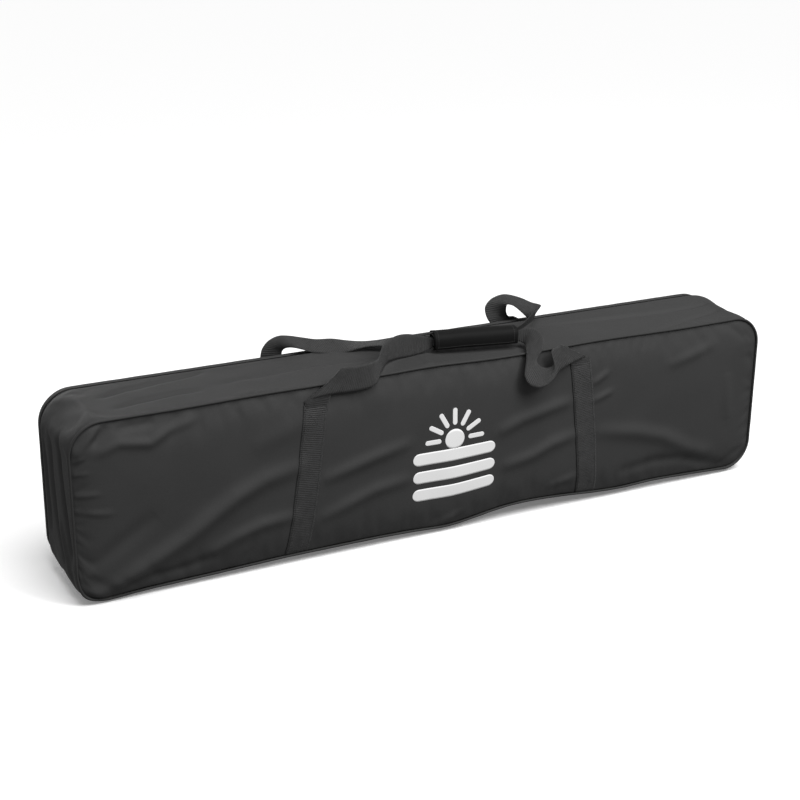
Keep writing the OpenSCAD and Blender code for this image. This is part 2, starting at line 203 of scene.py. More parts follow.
def ripple(seed, px, pz, length, height, count=9):
    """Sum of a few seeded waves: an even unevenness."""
    rng = np.random.default_rng(seed)
    total = np.zeros_like(px)
    for _ in range(count):
        turn = rng.uniform(0, math.pi)
        size = length * rng.uniform(0.7, 1.7)
        phase = rng.uniform(0, 2 * math.pi)
        total += np.sin((px * math.cos(turn) + pz * math.sin(turn)) * 2 * math.pi / size + phase)
    return total * height / math.sqrt(count)


# ---- Mesh helpers ----

def add_mesh(name, verts, faces, material, uvs=None):
    mesh = bpy.data.meshes.new(name)
    mesh.from_pydata(np.asarray(verts, float).reshape(-1, 3).tolist(), [], [tuple(f) for f in faces])
    if uvs is not None:
        layer = mesh.uv_layers.new(name="UVMap")
        flat = np.asarray(uvs, float).reshape(-1, 2)
        corners = np.zeros(len(mesh.loops), int)
        mesh.loops.foreach_get("vertex_index", corners)
        layer.data.foreach_set("uv", flat[corners].ravel())
    mesh.polygons.foreach_set("use_smooth", [True] * len(mesh.polygons))
    mesh.materials.append(material)
    mesh.update()
    obj = bpy.data.objects.new(name, mesh)
    bpy.context.scene.collection.objects.link(obj)
    return obj


def grid_faces(rows, columns, ring_rows=False, ring_columns=False, offset=0):
    faces = []
    for i in range(rows if ring_rows else rows - 1):
        for j in range(columns if ring_columns else columns - 1):
            a = i * columns + j
            b = i * columns + (j + 1) % columns
            c = ((i + 1) % rows) * columns + (j + 1) % columns
            d = ((i + 1) % rows) * columns + j
            faces.append((a + offset, b + offset, c + offset, d + offset))
    return faces


def coords(obj):
    out = np.zeros(len(obj.data.vertices) * 3)
    obj.data.vertices.foreach_get("co", out)
    return out.reshape(-1, 3)


def set_coords(obj, points):
    obj.data.vertices.foreach_set("co", np.asarray(points, np.float32).ravel())
    obj.data.update()


def normals(obj):
    out = np.zeros(len(obj.data.vertices) * 3)
    obj.data.vertices.foreach_get("normal", out)
    return out.reshape(-1, 3)


def apply_modifiers(obj):
    graph = bpy.context.evaluated_depsgraph_get()
    graph.update()
    mesh = bpy.data.meshes.new_from_object(obj.evaluated_get(graph))
    obj.modifiers.clear()
    obj.data = mesh


def subdivide(obj):
    modifier = obj.modifiers.new("subdivision", "SUBSURF")
    modifier.levels = 1
    modifier.render_levels = 1
    modifier.boundary_smooth = "PRESERVE_CORNERS"
    apply_modifiers(obj)


def thicken(obj, thickness):
    modifier = obj.modifiers.new("thickness", "SOLIDIFY")
    modifier.thickness = thickness
    modifier.offset = -1
    apply_modifiers(obj)


def soften(obj, width):
    """Rounds the edges of a piece that the CAD gave."""
    edge = obj.modifiers.new("soft_edges", "BEVEL")
    edge.width = width
    edge.segments = 2
    return edge


def belongs(obj, body, slot, *nodes):
    """The piece rides on a body and stands for CAD nodes; slot is not used."""
    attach(obj, body)
    if nodes:
        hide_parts(*nodes)


PRESSURE = 2.0
SPARE_CLOTH = 0.012
LARGEST_MOVE = 3.5 * MM
SIM_FRAMES = 20


def blow_out(obj, held):
    """Cloth simulation: the sheet's edge is held while pressure and spare cloth make it swell."""
    scene = bpy.context.scene
    rest = coords(obj)
    group = obj.vertex_groups.new(name="held")
    group.add([int(i) for i in np.nonzero(held)[0]], 1.0, "REPLACE")
    cloth = obj.modifiers.new("cloth", "CLOTH")
    cloth.settings.quality = 6
    cloth.settings.mass = 0.2
    cloth.settings.tension_stiffness = 20
    cloth.settings.compression_stiffness = 20
    cloth.settings.shear_stiffness = 8
    cloth.settings.bending_stiffness = 0.4
    cloth.settings.air_damping = 4
    cloth.settings.use_pressure = True
    cloth.settings.uniform_pressure_force = PRESSURE
    cloth.settings.shrink_min = -SPARE_CLOTH
    cloth.settings.vertex_group_mass = "held"
    cloth.settings.effector_weights.gravity = 0
    cloth.collision_settings.use_collision = False
    for step in range(1, SIM_FRAMES + 1):
        scene.frame_set(step)
    graph = bpy.context.evaluated_depsgraph_get()
    blown = obj.evaluated_get(graph).to_mesh()
    out = np.zeros(len(blown.vertices) * 3)
    blown.vertices.foreach_get("co", out)
    obj.evaluated_get(graph).to_mesh_clear()
    obj.modifiers.clear()
    obj.vertex_groups.clear()
    scene.frame_set(1)
    move = out.reshape(-1, 3) - rest
    size = np.linalg.norm(move, axis=1, keepdims=True)
    limited = LARGEST_MOVE * np.tanh(size / LARGEST_MOVE)
    set_coords(obj, rest + move * limited / np.maximum(size, 1e-9))


def height_map(obj):
    """Gives y of a front or rear surface at (x, z)."""
    graph = bpy.context.evaluated_depsgraph_get()
    tree = BVHTree.FromObject(obj, graph)
    far = 0.3

    def find(x, z, side):
        hit = tree.ray_cast(Vector((x, side * far, z)), Vector((0, -side, 0)))
        if hit[0] is None:
            hit = tree.find_nearest(Vector((x, side * SEAM_Y, z)))
        return hit[0].y

    return find


# ---- Materials ----

def new_material(name):
    material = bpy.data.materials.new(name)
    material.use_nodes = True
    tree = material.node_tree
    shader = tree.nodes["Principled BSDF"]
    return material, tree, shader


def math_node(tree, operation, a, b=None):
    made = tree.nodes.new("ShaderNodeMath")
    made.operation = operation
    for place, value in enumerate([a, b]):
        if value is None:
            continue
        if isinstance(value, (int, float)):
            made.inputs[place].default_value = value
        else:
            tree.links.new(value, made.inputs[place])
    return made.outputs[0]


def mix_colours(tree, share, dark, light):
    ramp = tree.nodes.new("ShaderNodeValToRGB")
    ramp.color_ramp.elements[0].color = (*dark, 1)
    ramp.color_ramp.elements[1].color = (*light, 1)
    tree.links.new(share, ramp.inputs[0])
    return ramp.outputs[0]


def uv_axes(tree):
    coordinates = tree.nodes.new("ShaderNodeTexCoord")
    split = tree.nodes.new("ShaderNodeSeparateXYZ")
    tree.links.new(coordinates.outputs["UV"], split.inputs[0])
    return coordinates, split.outputs["X"], split.outputs["Y"]


def noise_at(tree, vector, scale, detail=3.0, roughness=0.55):
    made = tree.nodes.new("ShaderNodeTexNoise")
    made.inputs["Scale"].default_value = scale
    made.inputs["Detail"].default_value = detail
    made.inputs["Roughness"].default_value = roughness
    tree.links.new(vector, made.inputs["Vector"])
    return made.outputs["Fac"]


def bump(tree, shader, height, distance, strength, first=None):
    made = tree.nodes.new("ShaderNodeBump")
    made.inputs["Strength"].default_value = strength
    made.inputs["Distance"].default_value = distance
    tree.links.new(height, made.inputs["Height"])
    if first is not None:
        tree.links.new(first, made.inputs["Normal"])
    tree.links.new(made.outputs["Normal"], shader.inputs["Normal"])
    return made.outputs["Normal"]


def roughness_range(tree, shader, share, low, high):
    made = tree.nodes.new("ShaderNodeMapRange")
    made.inputs["To Min"].default_value = low
    made.inputs["To Max"].default_value = high
    tree.links.new(share, made.inputs["Value"])
    tree.links.new(made.outputs["Result"], shader.inputs["Roughness"])


THREAD_DEPTH = 0.05 * MM


def woven(name, dark, light, pitch, rough=(0.55, 0.72), sheen=0.02, crease=0.25 * MM, gloss=0.22):
    """Plain-woven cloth: threads over and under each other, fine creases and uneven shade."""
    material, tree, shader = new_material(name)
    coordinates, u, v = uv_axes(tree)
    turn = 2 * math.pi / pitch
    warp = math_node(tree, "SINE", math_node(tree, "MULTIPLY", u, turn))
    weft = math_node(tree, "SINE", math_node(tree, "MULTIPLY", v, turn))
    threads = math_node(tree, "MULTIPLY", warp, weft)
    cloudy = noise_at(tree, coordinates.outputs["Object"], 9, 4)
    fine = noise_at(tree, coordinates.outputs["Object"], 480, 3, 0.7)
    shade = math_node(tree, "ADD", math_node(tree, "MULTIPLY", cloudy, 0.45),
                      math_node(tree, "MULTIPLY", threads, 0.15))
    shade = math_node(tree, "ADD", shade, math_node(tree, "MULTIPLY", fine, 0.6))
    tree.links.new(mix_colours(tree, shade, dark, light), shader.inputs["Base Color"])
    roughness_range(tree, shader, cloudy, *rough)
    creases = noise_at(tree, coordinates.outputs["Object"], 60, 5, 0.6)
    first = bump(tree, shader, creases, crease, 0.5)
    bump(tree, shader, threads, THREAD_DEPTH, 0.6, first)
    shader.inputs["Sheen Weight"].default_value = sheen
    shader.inputs["Sheen Roughness"].default_value = 0.4
    shader.inputs["Specular IOR Level"].default_value = gloss
    return material


RIB_PITCH = 3.0 * MM
FIBRE_PITCH = 1.5 * MM
RIB_WAVE = 0.45 * MM


def ribbed_webbing(name, dark, light):
    """Heavy webbing: ribs across the width crossed by fine lengthwise threads."""
    material, tree, shader = new_material(name)
    coordinates, u, v = uv_axes(tree)
    rib = 2 * math.pi / RIB_PITCH
    thread = 2 * math.pi / FIBRE_PITCH
    wave = math_node(tree, "SINE", math_node(tree, "MULTIPLY", v, thread))
    slant = math_node(tree, "ADD", u, math_node(tree, "MULTIPLY", wave, RIB_WAVE))
    ribs = math_node(tree, "SINE", math_node(tree, "MULTIPLY", slant, rib))
    weave = math_node(tree, "ADD", math_node(tree, "MULTIPLY", ribs, 0.75),
                      math_node(tree, "MULTIPLY", wave, 0.25))
    uneven = noise_at(tree, coordinates.outputs["Object"], 130, 4)
    shade = math_node(tree, "ADD", math_node(tree, "MULTIPLY", weave, 0.34), uneven)
    tree.links.new(mix_colours(tree, shade, dark, light), shader.inputs["Base Color"])
    roughness_range(tree, shader, uneven, 0.45, 0.65)
    bump(tree, shader, weave, 0.4 * MM, 1.0)
    shader.inputs["Sheen Weight"].default_value = 0.08
    shader.inputs["Sheen Roughness"].default_value = 0.4
    return material


def speckled(name, dark, light, scale, rough, metallic=0.0, depth=0.05 * MM):
    """Fine-grained finish for thread, print, coil and metal."""
    material, tree, shader = new_material(name)
    coordinates = tree.nodes.new("ShaderNodeTexCoord")
    grain = noise_at(tree, coordinates.outputs["Object"], scale, 4)
    tree.links.new(mix_colours(tree, grain, dark, light), shader.inputs["Base Color"])
    roughness_range(tree, shader, grain, *rough)
    bump(tree, shader, grain, depth, 0.5)
    shader.inputs["Metallic"].default_value = metallic
    return material


def grey(value):
    return (value, value, value)


OUTER = woven("outer_cloth", grey(0.030), grey(0.050), 0.9 * MM)
PIPING = woven("piping_cloth", grey(0.026), grey(0.042), 0.8 * MM, crease=0.1 * MM)
LINING = woven("lining_cloth", grey(0.055), grey(0.085), 0.7 * MM, rough=(0.45, 0.6), sheen=0.1)
BINDING = woven("binding_tape", grey(0.035), grey(0.055), 1.1 * MM, rough=(0.6, 0.75))
WRAP = woven("wrap_cloth", grey(0.005), grey(0.011), 0.9 * MM, sheen=0.01, gloss=0.1)
TAPE = woven("zip_tape", grey(0.02), grey(0.035), 0.8 * MM, rough=(0.6, 0.8))
WEBBING = ribbed_webbing("webbing", grey(0.008), grey(0.036))
THREAD = speckled("thread", grey(0.02), grey(0.05), 900, (0.5, 0.7))
COIL = speckled("zip_coil", grey(0.02), grey(0.04), 500, (0.3, 0.45))
METAL = speckled("slider_metal", grey(0.04), grey(0.09), 300, (0.3, 0.5), 0.8, 0.03 * MM)
PRINT = speckled("print_ink", grey(0.86), grey(0.93), 700, (0.5, 0.65), depth=0.03 * MM)
FUZZ = speckled("hook_and_loop", grey(0.02), grey(0.05), 1400, (0.85, 0.98), depth=0.3 * MM)


# ---- Front and rear panels ----

# Light catches the upper side of each fold; routes are (x, z)
FRONT_FOLDS = [
    ([(-585, 12), (-540, 30), (-488, 56), (-438, 82), (-394, 111), (-358, 133), (-312, 152),
      (-256, 163)], 4.2, 17),
    ([(-400, 50), (-360, 68), (-318, 80), (-266, 84)], 2.8, 13),
    ([(-580, 62), (-530, 96), (-480, 128)], -1.6, 16),
    ([(-556, 14), (-500, 28), (-440, 32), (-390, 42)], -2.0, 10),
    ([(-592, 236), (-566, 262), (-552, 276)], 1.6, 8),
    ([(-566, 250), (-546, 275)], -1.8, 7),
    ([(-560, 236), (-530, 247), (-484, 240), (-456, 253), (-414, 264)], 2.0, 9),
    ([(-530, 266), (-474, 268)], -1.4, 8),
    ([(-596, 175), (-562, 176)], 0.9, 5),
    ([(-597, 150), (-544, 143)], 0.9, 6),
    ([(-596, 207), (-575, 209)], 0.7, 4),
    ([(-596, 226), (-578, 232)], 0.7, 4),
    ([(-217, 134), (-173, 145), (-131, 156), (-72, 168)], 2.6, 13),
    ([(-221, 70), (-173, 87), (-131, 101), (-71, 109)], 2.4, 13),
    ([(88, 158), (130, 174), (183, 185), (219, 190)], 2.8, 13),
    ([(97, 98), (151, 108), (186, 122), (233, 131)], 2.6, 13),
    ([(190, 44), (237, 56)], 1.4, 9),
    ([(-23, 14), (29, 33)], 1.2, 9),
    ([(262, 212), (292, 229)], 1.6, 7),
    ([(263, 183), (300, 195)], 1.5, 7),
    ([(275, 128), (352, 114), (408, 96), (465, 64), (509, 48)], 2.6, 16),
    ([(330, 46), (398, 52), (453, 47), (512, 27), (556, 14)], -2.2, 12),
    ([(534, 190), (541, 105)], 1.2, 12),
    ([(412, 222), (465, 234), (500, 244)], 1.4, 11),
    ([(-330, 205), (-230, 235)], 1.2, 20),
]
REAR_FOLDS = [
    ([(560, 20), (430, 70), (330, 120), (262, 150)], 3.2, 18),
    ([(-560, 30), (-450, 60), (-340, 72), (-262, 90)], 3.0, 18),
    ([(-220, 70), (-60, 110), (90, 100), (225, 130)], 2.6, 20),
    ([(-210, 190), (-20, 170), (210, 200)], 2.0, 18),
    ([(590, 245), (548, 262), (470, 250)], 1.8, 10),
    ([(-590, 240), (-540, 258), (-450, 250)], 1.6, 10),
    ([(596, 170), (560, 172)], 0.9, 6),
    ([(-596, 150), (-556, 146)], 0.9, 6),
    ([(-420, 190), (-320, 220)], 1.5, 14),
    ([(420, 200), (330, 180)], 1.5, 14),
]


def panel_columns(step):
    turns = np.linspace(0, math.pi / 2, 13)[1:]
    right = STRAIGHT_L + (CORNER_R - 1.2 * MM) * np.sin(turns)
    middle = np.linspace(-STRAIGHT_L, STRAIGHT_L, int(2 * STRAIGHT_L / step) + 1)
    return np.concatenate([-right[::-1], middle, right])


def panel_grid(edge, step=6 * MM, rows=47):
    """Even grid over the bag's outline, edge metres in from the seam line."""
    x = panel_columns(step)
    x = x * (HALF_L - edge) / np.abs(x).max()
    r = CORNER_R - edge
    over = np.clip((np.abs(x) - STRAIGHT_L) / r, 0, 1)
    drop = r - r * np.sqrt(1 - over ** 2)
    low = SEAM_LOW + edge + drop
    high = SEAM_HIGH - edge - drop
    share = np.linspace(0, 1, rows)
    z = low[:, None] + (high - low)[:, None] * share[None, :]
    return np.repeat(x[:, None], rows, axis=1), z


PUFF, PUFF_REACH = 7.5 * MM, 13 * MM
BELLY, BELLY_REACH = 2.5 * MM, 120 * MM
FLAT_EDGE = 1.5 * MM


def crown(d):
    """How far a panel stands out from the seam plane, d metres in from its edge."""
    puff = PUFF * (1 - np.exp(-np.maximum(d - FLAT_EDGE, 0) / PUFF_REACH))
    return -SEAM_DIP + puff + BELLY * smooth(d / BELLY_REACH)


def panel(name, side, folds, seed):
    """Padded outer panel; side is -1 in front and 1 at the rear."""
    x, z = panel_grid(0.8 * MM)
    d = inset(x, z)
    y = side * (SEAM_Y + crown(d))
    verts = sag(np.stack([x, y, z], axis=-1))
    uvs = np.stack([x, z], axis=-1)
    faces = grid_faces(*x.shape)
    if side < 0:
        faces = [f[::-1] for f in faces]
    obj = add_mesh(name, verts, faces, OUTER, uvs)
    held = d < 2.5 * MM
    blow_out(obj, held.ravel())
    subdivide(obj)
    p = coords(obj)
    flat = inset(p[:, 0], p[:, 2])
    ease = smooth((flat + 2 * MM) / (9 * MM))
    height = folds_at(p[:, 0], p[:, 2], folds)
    height += ripple(seed, p[:, 0], p[:, 2], 70 * MM, 0.25 * MM)
    pucker = np.exp(-flat / (9 * MM)) * ripple(seed + 1, p[:, 0], p[:, 2], 16 * MM, 0.22 * MM)
    p[:, 1] += side * (height * ease + pucker)
    set_coords(obj, p)
    return obj


def finished_panel(prefix, side, body, folds, seed):
    """Makes a panel and gives the y of its outer surface at (x, z)."""
    obj = panel(f"{prefix}_panel_cloth", side, folds, seed)
    surface = height_map(obj)
    thicken(obj, CLOTH_T)
    belongs(obj, body, "outer_cloth", f"{prefix}_panel")
    return surface


front_y = finished_panel("front", -1, "bag", FRONT_FOLDS, 11)
rear_y = finished_panel("rear", 1, "lid", REAR_FOLDS, 23)


# ---- Gusset, lid rim and base ----

TOP_FOLDS = [
    ([(227, 20), (297, 17), (393, 8), (480, 3), (553, 6)], 2.2, 7),
    ([(395, -68), (464, -45), (551, -26)], 1.8, 7),
    ([(483, -57), (547, -72)], 1.2, 6),
    ([(-525, 8), (-487, 22), (-436, 31), (-360, 43)], 2.0, 7),
    ([(-517, -36), (-478, -25), (-419, -18), (-384, -22)], 1.6, 8),
    ([(-350, -10), (-200, 5), (-60, -5)], 1.2, 10),
    ([(10, 25), (120, 30), (210, 24)], 1.2, 9),
]
# On the ends a route is (height, y)
LEFT_FOLDS = [
    ([(250, -30), (200, -28), (140, -36), (70, -52)], 3.0, 7),
    ([(240, 12), (180, 16), (110, 8), (50, -20)], 2.2, 8),
    ([(225, 44), (150, 42), (80, 36)], 1.6, 7),
    ([(110, -8), (60, -32), (24, -50)], -1.8, 8),
]
RIGHT_FOLDS = [
    ([(250, 20), (180, 10), (100, 24), (50, 30)], 2.4, 8),
    ([(240, -34), (170, -26), (90, -38)], 2.4, 8),
    ([(120, 0), (60, -10)], -1.6, 9),
]


def strip(y0, y1, rows, step, height, start=0.0, length=None):
    """Grid round the seam line from y0 to y1; height(s, y) is how far it stands outside the seam line."""
    length = U_LENGTH if length is None else length
    s = np.linspace(start, start + length, int(length / step) + 1)
    y = np.linspace(y0, y1, rows)
    x, z, nx, nz = loop_point(s)
    ss, yy = np.meshgrid(s, y, indexing="ij")
    h = height(ss, yy)
    grid = np.stack([x[:, None] + nx[:, None] * h, yy, z[:, None] + nz[:, None] * h], axis=-1)
    return grid, np.stack([ss, yy], axis=-1)


GUSSET_FRONT = -SEAM_Y + SEAM_GAP
GUSSET_W = CLOTH_EDGE_Y - GUSSET_FRONT
GUSSET_EDGE, GUSSET_EDGE_REACH = 3.4 * MM, 4 * MM
GUSSET_SWELL, FLATTER_ENDS = 6.0 * MM, 2.0 * MM


def gusset_height(s, y):
    p = np.clip((y - GUSSET_FRONT) / GUSSET_W, 0, 1)
    edge = GUSSET_EDGE * (1 - np.exp(-np.maximum(y - GUSSET_FRONT - FLAT_EDGE, 0) / GUSSET_EDGE_REACH))
    swell = p ** 1.1 * (1 - p ** 14) / 0.8
    end = smooth((np.abs(s - U_LENGTH / 2) - STRAIGHT_L + 60 * MM) / (200 * MM))
    return -SEAM_DIP + edge + (GUSSET_SWELL - FLATTER_ENDS * end) * swell


def gusset_folds(p):
    """Folds on the top by (x, y) and on the ends by (z, y)."""
    top = smooth((p[:, 2] - SEAM_HIGH + 40 * MM) / (30 * MM))
    total = 1.3 * folds_at(p[:, 0], p[:, 1], TOP_FOLDS) * top
    left = smooth((-p[:, 0] - STRAIGHT_L) / (40 * MM))
    right = smooth((p[:, 0] - STRAIGHT_L) / (40 * MM))
    total += folds_at(p[:, 2], p[:, 1], LEFT_FOLDS) * left
    total += folds_at(p[:, 2], p[:, 1], RIGHT_FOLDS) * right
    return total


grid, uvs = strip(GUSSET_FRONT, CLOTH_EDGE_Y, 24, 6 * MM, gusset_height)
gusset = add_mesh("gusset_cloth", sag(grid), grid_faces(*grid.shape[:2]), OUTER, uvs)
held = np.zeros(grid.shape[:2], bool)
held[:, :1] = True
held[:, -2:] = True
held[0, :] = True
held[-1, :] = True
blow_out(gusset, held.ravel())
subdivide(gusset)
p = coords(gusset)
out = normals(gusset)
edge_ease = smooth((p[:, 1] - GUSSET_FRONT) / (8 * MM)) * smooth((CLOTH_EDGE_Y - p[:, 1]) / (16 * MM))
rise = gusset_folds(p) + ripple(5, p[:, 0] + p[:, 2], p[:, 1], 60 * MM, 0.25 * MM)
set_coords(gusset, p + out * (rise * edge_ease)[:, None])
thicken(gusset, CLOTH_T)
belongs(gusset, "bag", "outer_cloth", "top_gusset", "left_end_gusset", "right_end_gusset")


BASE_REAR = SEAM_Y - SEAM_GAP
BASE_PUFF, BASE_PUFF_REACH = 3.9 * MM, 6 * MM
BASE_DIP = 0.4 * MM
BASE_RUN = 2 * STRAIGHT_L - 0.5 * MM


def base_height(s, y):
    q = np.minimum(y - GUSSET_FRONT, BASE_REAR - y)
    flat = -BASE_DIP + BASE_PUFF * (1 - np.exp(-q / BASE_PUFF_REACH))
    run = np.minimum(s - U_LENGTH, LOOP_LENGTH - s)
    inner = smooth(run / (60 * MM))
    return gusset_height(np.zeros_like(s), y) * (1 - inner) + flat * inner


grid, uvs = strip(GUSSET_FRONT, BASE_REAR, 30, 8 * MM, base_height, U_LENGTH, BASE_RUN)
base = add_mesh("base_cloth", sag(grid), grid_faces(*grid.shape[:2]), OUTER, uvs)
p = coords(base)
p[:, 2] += np.abs(ripple(31, p[:, 0], p[:, 1], 90 * MM, 0.4 * MM)) * smooth((0.07 - np.abs(p[:, 1])) / 0.01)
set_coords(base, p)
thicken(base, CLOTH_T)
belongs(base, "bag", "outer_cloth", "base_panel")


def rim_height(s, y):
    p = (y - RIM_EDGE_Y) / (BASE_REAR - RIM_EDGE_Y)
    return 0.4 * MM + 1.2 * MM * np.sin(np.pi * np.clip(p, 0, 1)) - 1.0 * MM * np.clip(p, 0, 1)


grid, uvs = strip(RIM_EDGE_Y, BASE_REAR, 8, 4 * MM, rim_height)
rim = add_mesh("lid_rim_cloth", sag(grid), grid_faces(*grid.shape[:2]), OUTER, uvs)
thicken(rim, CLOTH_T)
belongs(rim, "lid", "outer_cloth", "lid_rim")


# ---- Piping and seam bindings ----

def ring_tube(name, side, inset_by, depth, radius_a, radius_b, tilt, seed, material):
    """Tube round the whole seam line, radius_a by radius_b, turned by tilt in its cross-section."""
    count = int(LOOP_LENGTH / (4 * MM))
    around = 12
    s = np.linspace(0, LOOP_LENGTH, count, endpoint=False)
    x, z, nx, nz = loop_point(s)
    uneven = 1 + ripple(seed, s, s * 0, 34 * MM, 0.05)
    turn = np.linspace(0, 2 * math.pi, around, endpoint=False)
    a = radius_a * np.cos(turn)
    b = radius_b * np.sin(turn)
    out = (a * math.cos(tilt) - b * math.sin(tilt))[None, :] * uneven[:, None] - inset_by
    deep = (a * math.sin(tilt) + b * math.cos(tilt))[None, :] * uneven[:, None]
    verts = np.stack([x[:, None] + nx[:, None] * out, side * (SEAM_Y - depth) + side * deep,
                      z[:, None] + nz[:, None] * out], axis=-1)
    faces = grid_faces(count, around, ring_rows=True, ring_columns=True)
    if side > 0:
        faces = [f[::-1] for f in faces]
    uvs = np.stack(np.broadcast_arrays(s[:, None], (turn * radius_a)[None, :]), axis=-1)
    return add_mesh(name, sag(verts), faces, material, uvs)


for side, body, prefix in [(-1, "bag", "front"), (1, "lid", "rear")]:
    cord = ring_tube(f"{prefix}_piping_cord", side, 0, 0, CORD_R, CORD_R, 0, 40 + side, PIPING)
    belongs(cord, body, "piping", f"{prefix}_piping")
    tape = ring_tube(f"{prefix}_binding_tape", side, WALL + 1.5 * MM, WALL + 0.5 * MM,
                     4.6 * MM, 1.3 * MM, -side * math.radians(45), 50 + side, BINDING)
    belongs(tape, body, "binding_tape", f"{prefix}_seam_binding")


# ---- Linings ----

def lining_panel(name, side, seed):
    x, z = panel_grid(WALL, 12 * MM, 25)
    d = inset(x, z)
    y = side * (SEAM_Y - WALL + 0.5 * crown(d) + ripple(seed, x, z, 90 * MM, 0.5 * MM))
    faces = grid_faces(*x.shape)
    if side > 0:
        faces = [f[::-1] for f in faces]
    obj = add_mesh(name, sag(np.stack([x, y, z], axis=-1)), faces, LINING, np.stack([x, z], axis=-1))
    subdivide(obj)
    thicken(obj, LINING_T)
    return obj


def lining_height(s, y):
    to_zip = smooth((y - CLOTH_EDGE_Y + 16 * MM) / (15 * MM))
    return -WALL + (WALL - 2.1 * MM) * to_zip


def base_lining_height(s, y):
    run = np.minimum(s - U_LENGTH, LOOP_LENGTH - s)
    inner = smooth(run / (50 * MM))
    return lining_height(s, y) * (1 - inner) - WALL * inner


def lining_strip(name, rear, height, *span):
    """Lining from the front wall to y = rear, its outer side facing the cloth."""
    grid, uvs = strip(LINING_FRONT, rear, 16, 10 * MM, height, *span)
    faces = [f[::-1] for f in grid_faces(*grid.shape[:2])]
    obj = add_mesh(name, sag(grid), faces, LINING, uvs)
    subdivide(obj)
    thicken(obj, LINING_T)
    return obj


for side, body, prefix, seed in [(-1, "bag", "front", 61), (1, "lid", "rear", 62)]:
    lining = lining_panel(f"{prefix}_lining_cloth", side, seed)
    belongs(lining, body, "lining_cloth", f"{prefix}_lining", f"{prefix}_foam")

LINING_FRONT = -SEAM_Y + WALL
LINING_REAR = SEAM_Y - WALL - 4 * MM
lining = lining_strip("gusset_lining_cloth", CLOTH_EDGE_Y - 0.3 * MM, lining_height)
belongs(lining, "bag", "lining_cloth", "gusset_lining", "top_foam", "left_end_foam", "right_end_foam")
lining = lining_strip("base_lining_cloth", LINING_REAR, base_lining_height, U_LENGTH, BASE_RUN)
belongs(lining, "bag", "lining_cloth", "base_lining", "base_foam")


# ---- Zip ----

TAPE_T = 0.6 * MM
TAPE_DEPTH = 0.7 * MM


def zip_tape(body):
    low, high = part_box(f"zip_tape_{body}")
    grid, uvs = strip(low.y, high.y, 6, 4 * MM, lambda s, y: np.full_like(s, -TAPE_DEPTH))
    obj = add_mesh(f"zip_tape_{body}_cloth", sag(grid), grid_faces(*grid.shape[:2]), TAPE, uvs)
    thicken(obj, TAPE_T)
    belongs(obj, body, "zip_tape", f"zip_tape_{body}")


zip_tape("bag")
zip_tape("lid")

TOOTH_PITCH = 1.6 * MM
TOOTH_R = 0.36 * MM
TOOTH_MIDDLE, TOOTH_HALF = 0.3 * MM, 0.9 * MM
TOOTH_OVERLAP = 0.3 * MM


def coil(body, y0, y1, shift):
    """Row of coil turns, each a rounded bar across the tape."""
    s = np.arange(shift, U_LENGTH, TOOTH_PITCH)
    x, z, nx, nz = loop_point(s)
    around = 6
    turn = np.linspace(0, 2 * math.pi, around, endpoint=False)
    parts = []
    for share, size in [(0, 0.55), (0.12, 1), (0.88, 1), (1, 0.55)]:
        along = TOOTH_R * size * np.cos(turn)
        h = TOOTH_MIDDLE + TOOTH_HALF * size * np.sin(turn)
        tx, tz = nz, -nx
        px = x[:, None] + nx[:, None] * h + tx[:, None] * along
        pz = z[:, None] + nz[:, None] * h + tz[:, None] * along
        parts.append(np.stack([px, np.full_like(px, y0 + (y1 - y0) * share), pz], axis=-1))
    verts = np.stack(parts, axis=1)
    faces = []
    per = 4 * around
    one = grid_faces(4, around, ring_columns=True)
    one += [tuple(range(around))[::-1], tuple(range(3 * around, per))]
    for k in range(len(s)):
        faces += [tuple(i + k * per for i in f) for f in one]
    obj = add_mesh(f"zip_teeth_{body}", sag(verts), faces, COIL)
    belongs(obj, body, "zip_coil", f"zip_coil_{body}")


coil("bag", zip_low.y, ZIP_Y + TOOTH_OVERLAP, 0)
coil("lid", ZIP_Y - TOOTH_OVERLAP, zip_lid_high.y, TOOTH_PITCH / 2)

for name in ["left_slider", "right_slider", "left_pull_tab", "right_pull_tab", "zip_end_stops"]:
    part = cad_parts[name]
    part.data.materials.clear()
    part.data.materials.append(METAL)
    soften(part, 0.25 * MM).limit_method = "ANGLE"


# ---- Slabs, stitches and webbing ----

def slab(name, centre, normal, thickness, material, uvs):
    """Closed flat body with soft edges about a grid of centre points."""
    rows, columns = centre.shape[:2]
    across = np.linspace(-1, 1, columns)
    half = thickness / 2 * (1 - np.abs(across) ** 10 * 0.75)
    top = centre + normal * half[None, :, None]
    low = centre - normal * half[None, :, None]
    verts = np.concatenate([top, low[:, ::-1]], axis=1)
    ring_uvs = np.concatenate([uvs, uvs[:, ::-1]], axis=1)
    faces = grid_faces(rows, 2 * columns, ring_columns=True)
    last = (rows - 1) * 2 * columns
    for j in range(columns - 1):
        a, b, c, d = j, j + 1, 2 * columns - 2 - j, 2 * columns - 1 - j
        faces.append((d, c, b, a))
        faces.append((a + last, b + last, c + last, d + last))
    return add_mesh(name, verts, faces, material, ring_uvs)


def unit(v):
    return v / np.maximum(np.linalg.norm(v, axis=-1, keepdims=True), 1e-12)


def grid_normals(grid):
    return unit(np.cross(np.gradient(grid, axis=0), np.gradient(grid, axis=1)))


def grid_lengths(grid):
    """UVs in metres: along the middle line and across."""
    middle = grid[:, grid.shape[1] // 2]
    along = np.concatenate([[0], np.cumsum(np.linalg.norm(np.diff(middle, axis=0), axis=1))])
    steps = np.linalg.norm(np.diff(grid, axis=1), axis=2).mean(axis=0)
    across = np.concatenate([[0], np.cumsum(steps)])
    return np.stack(np.meshgrid(along, across, indexing="ij"), axis=-1)


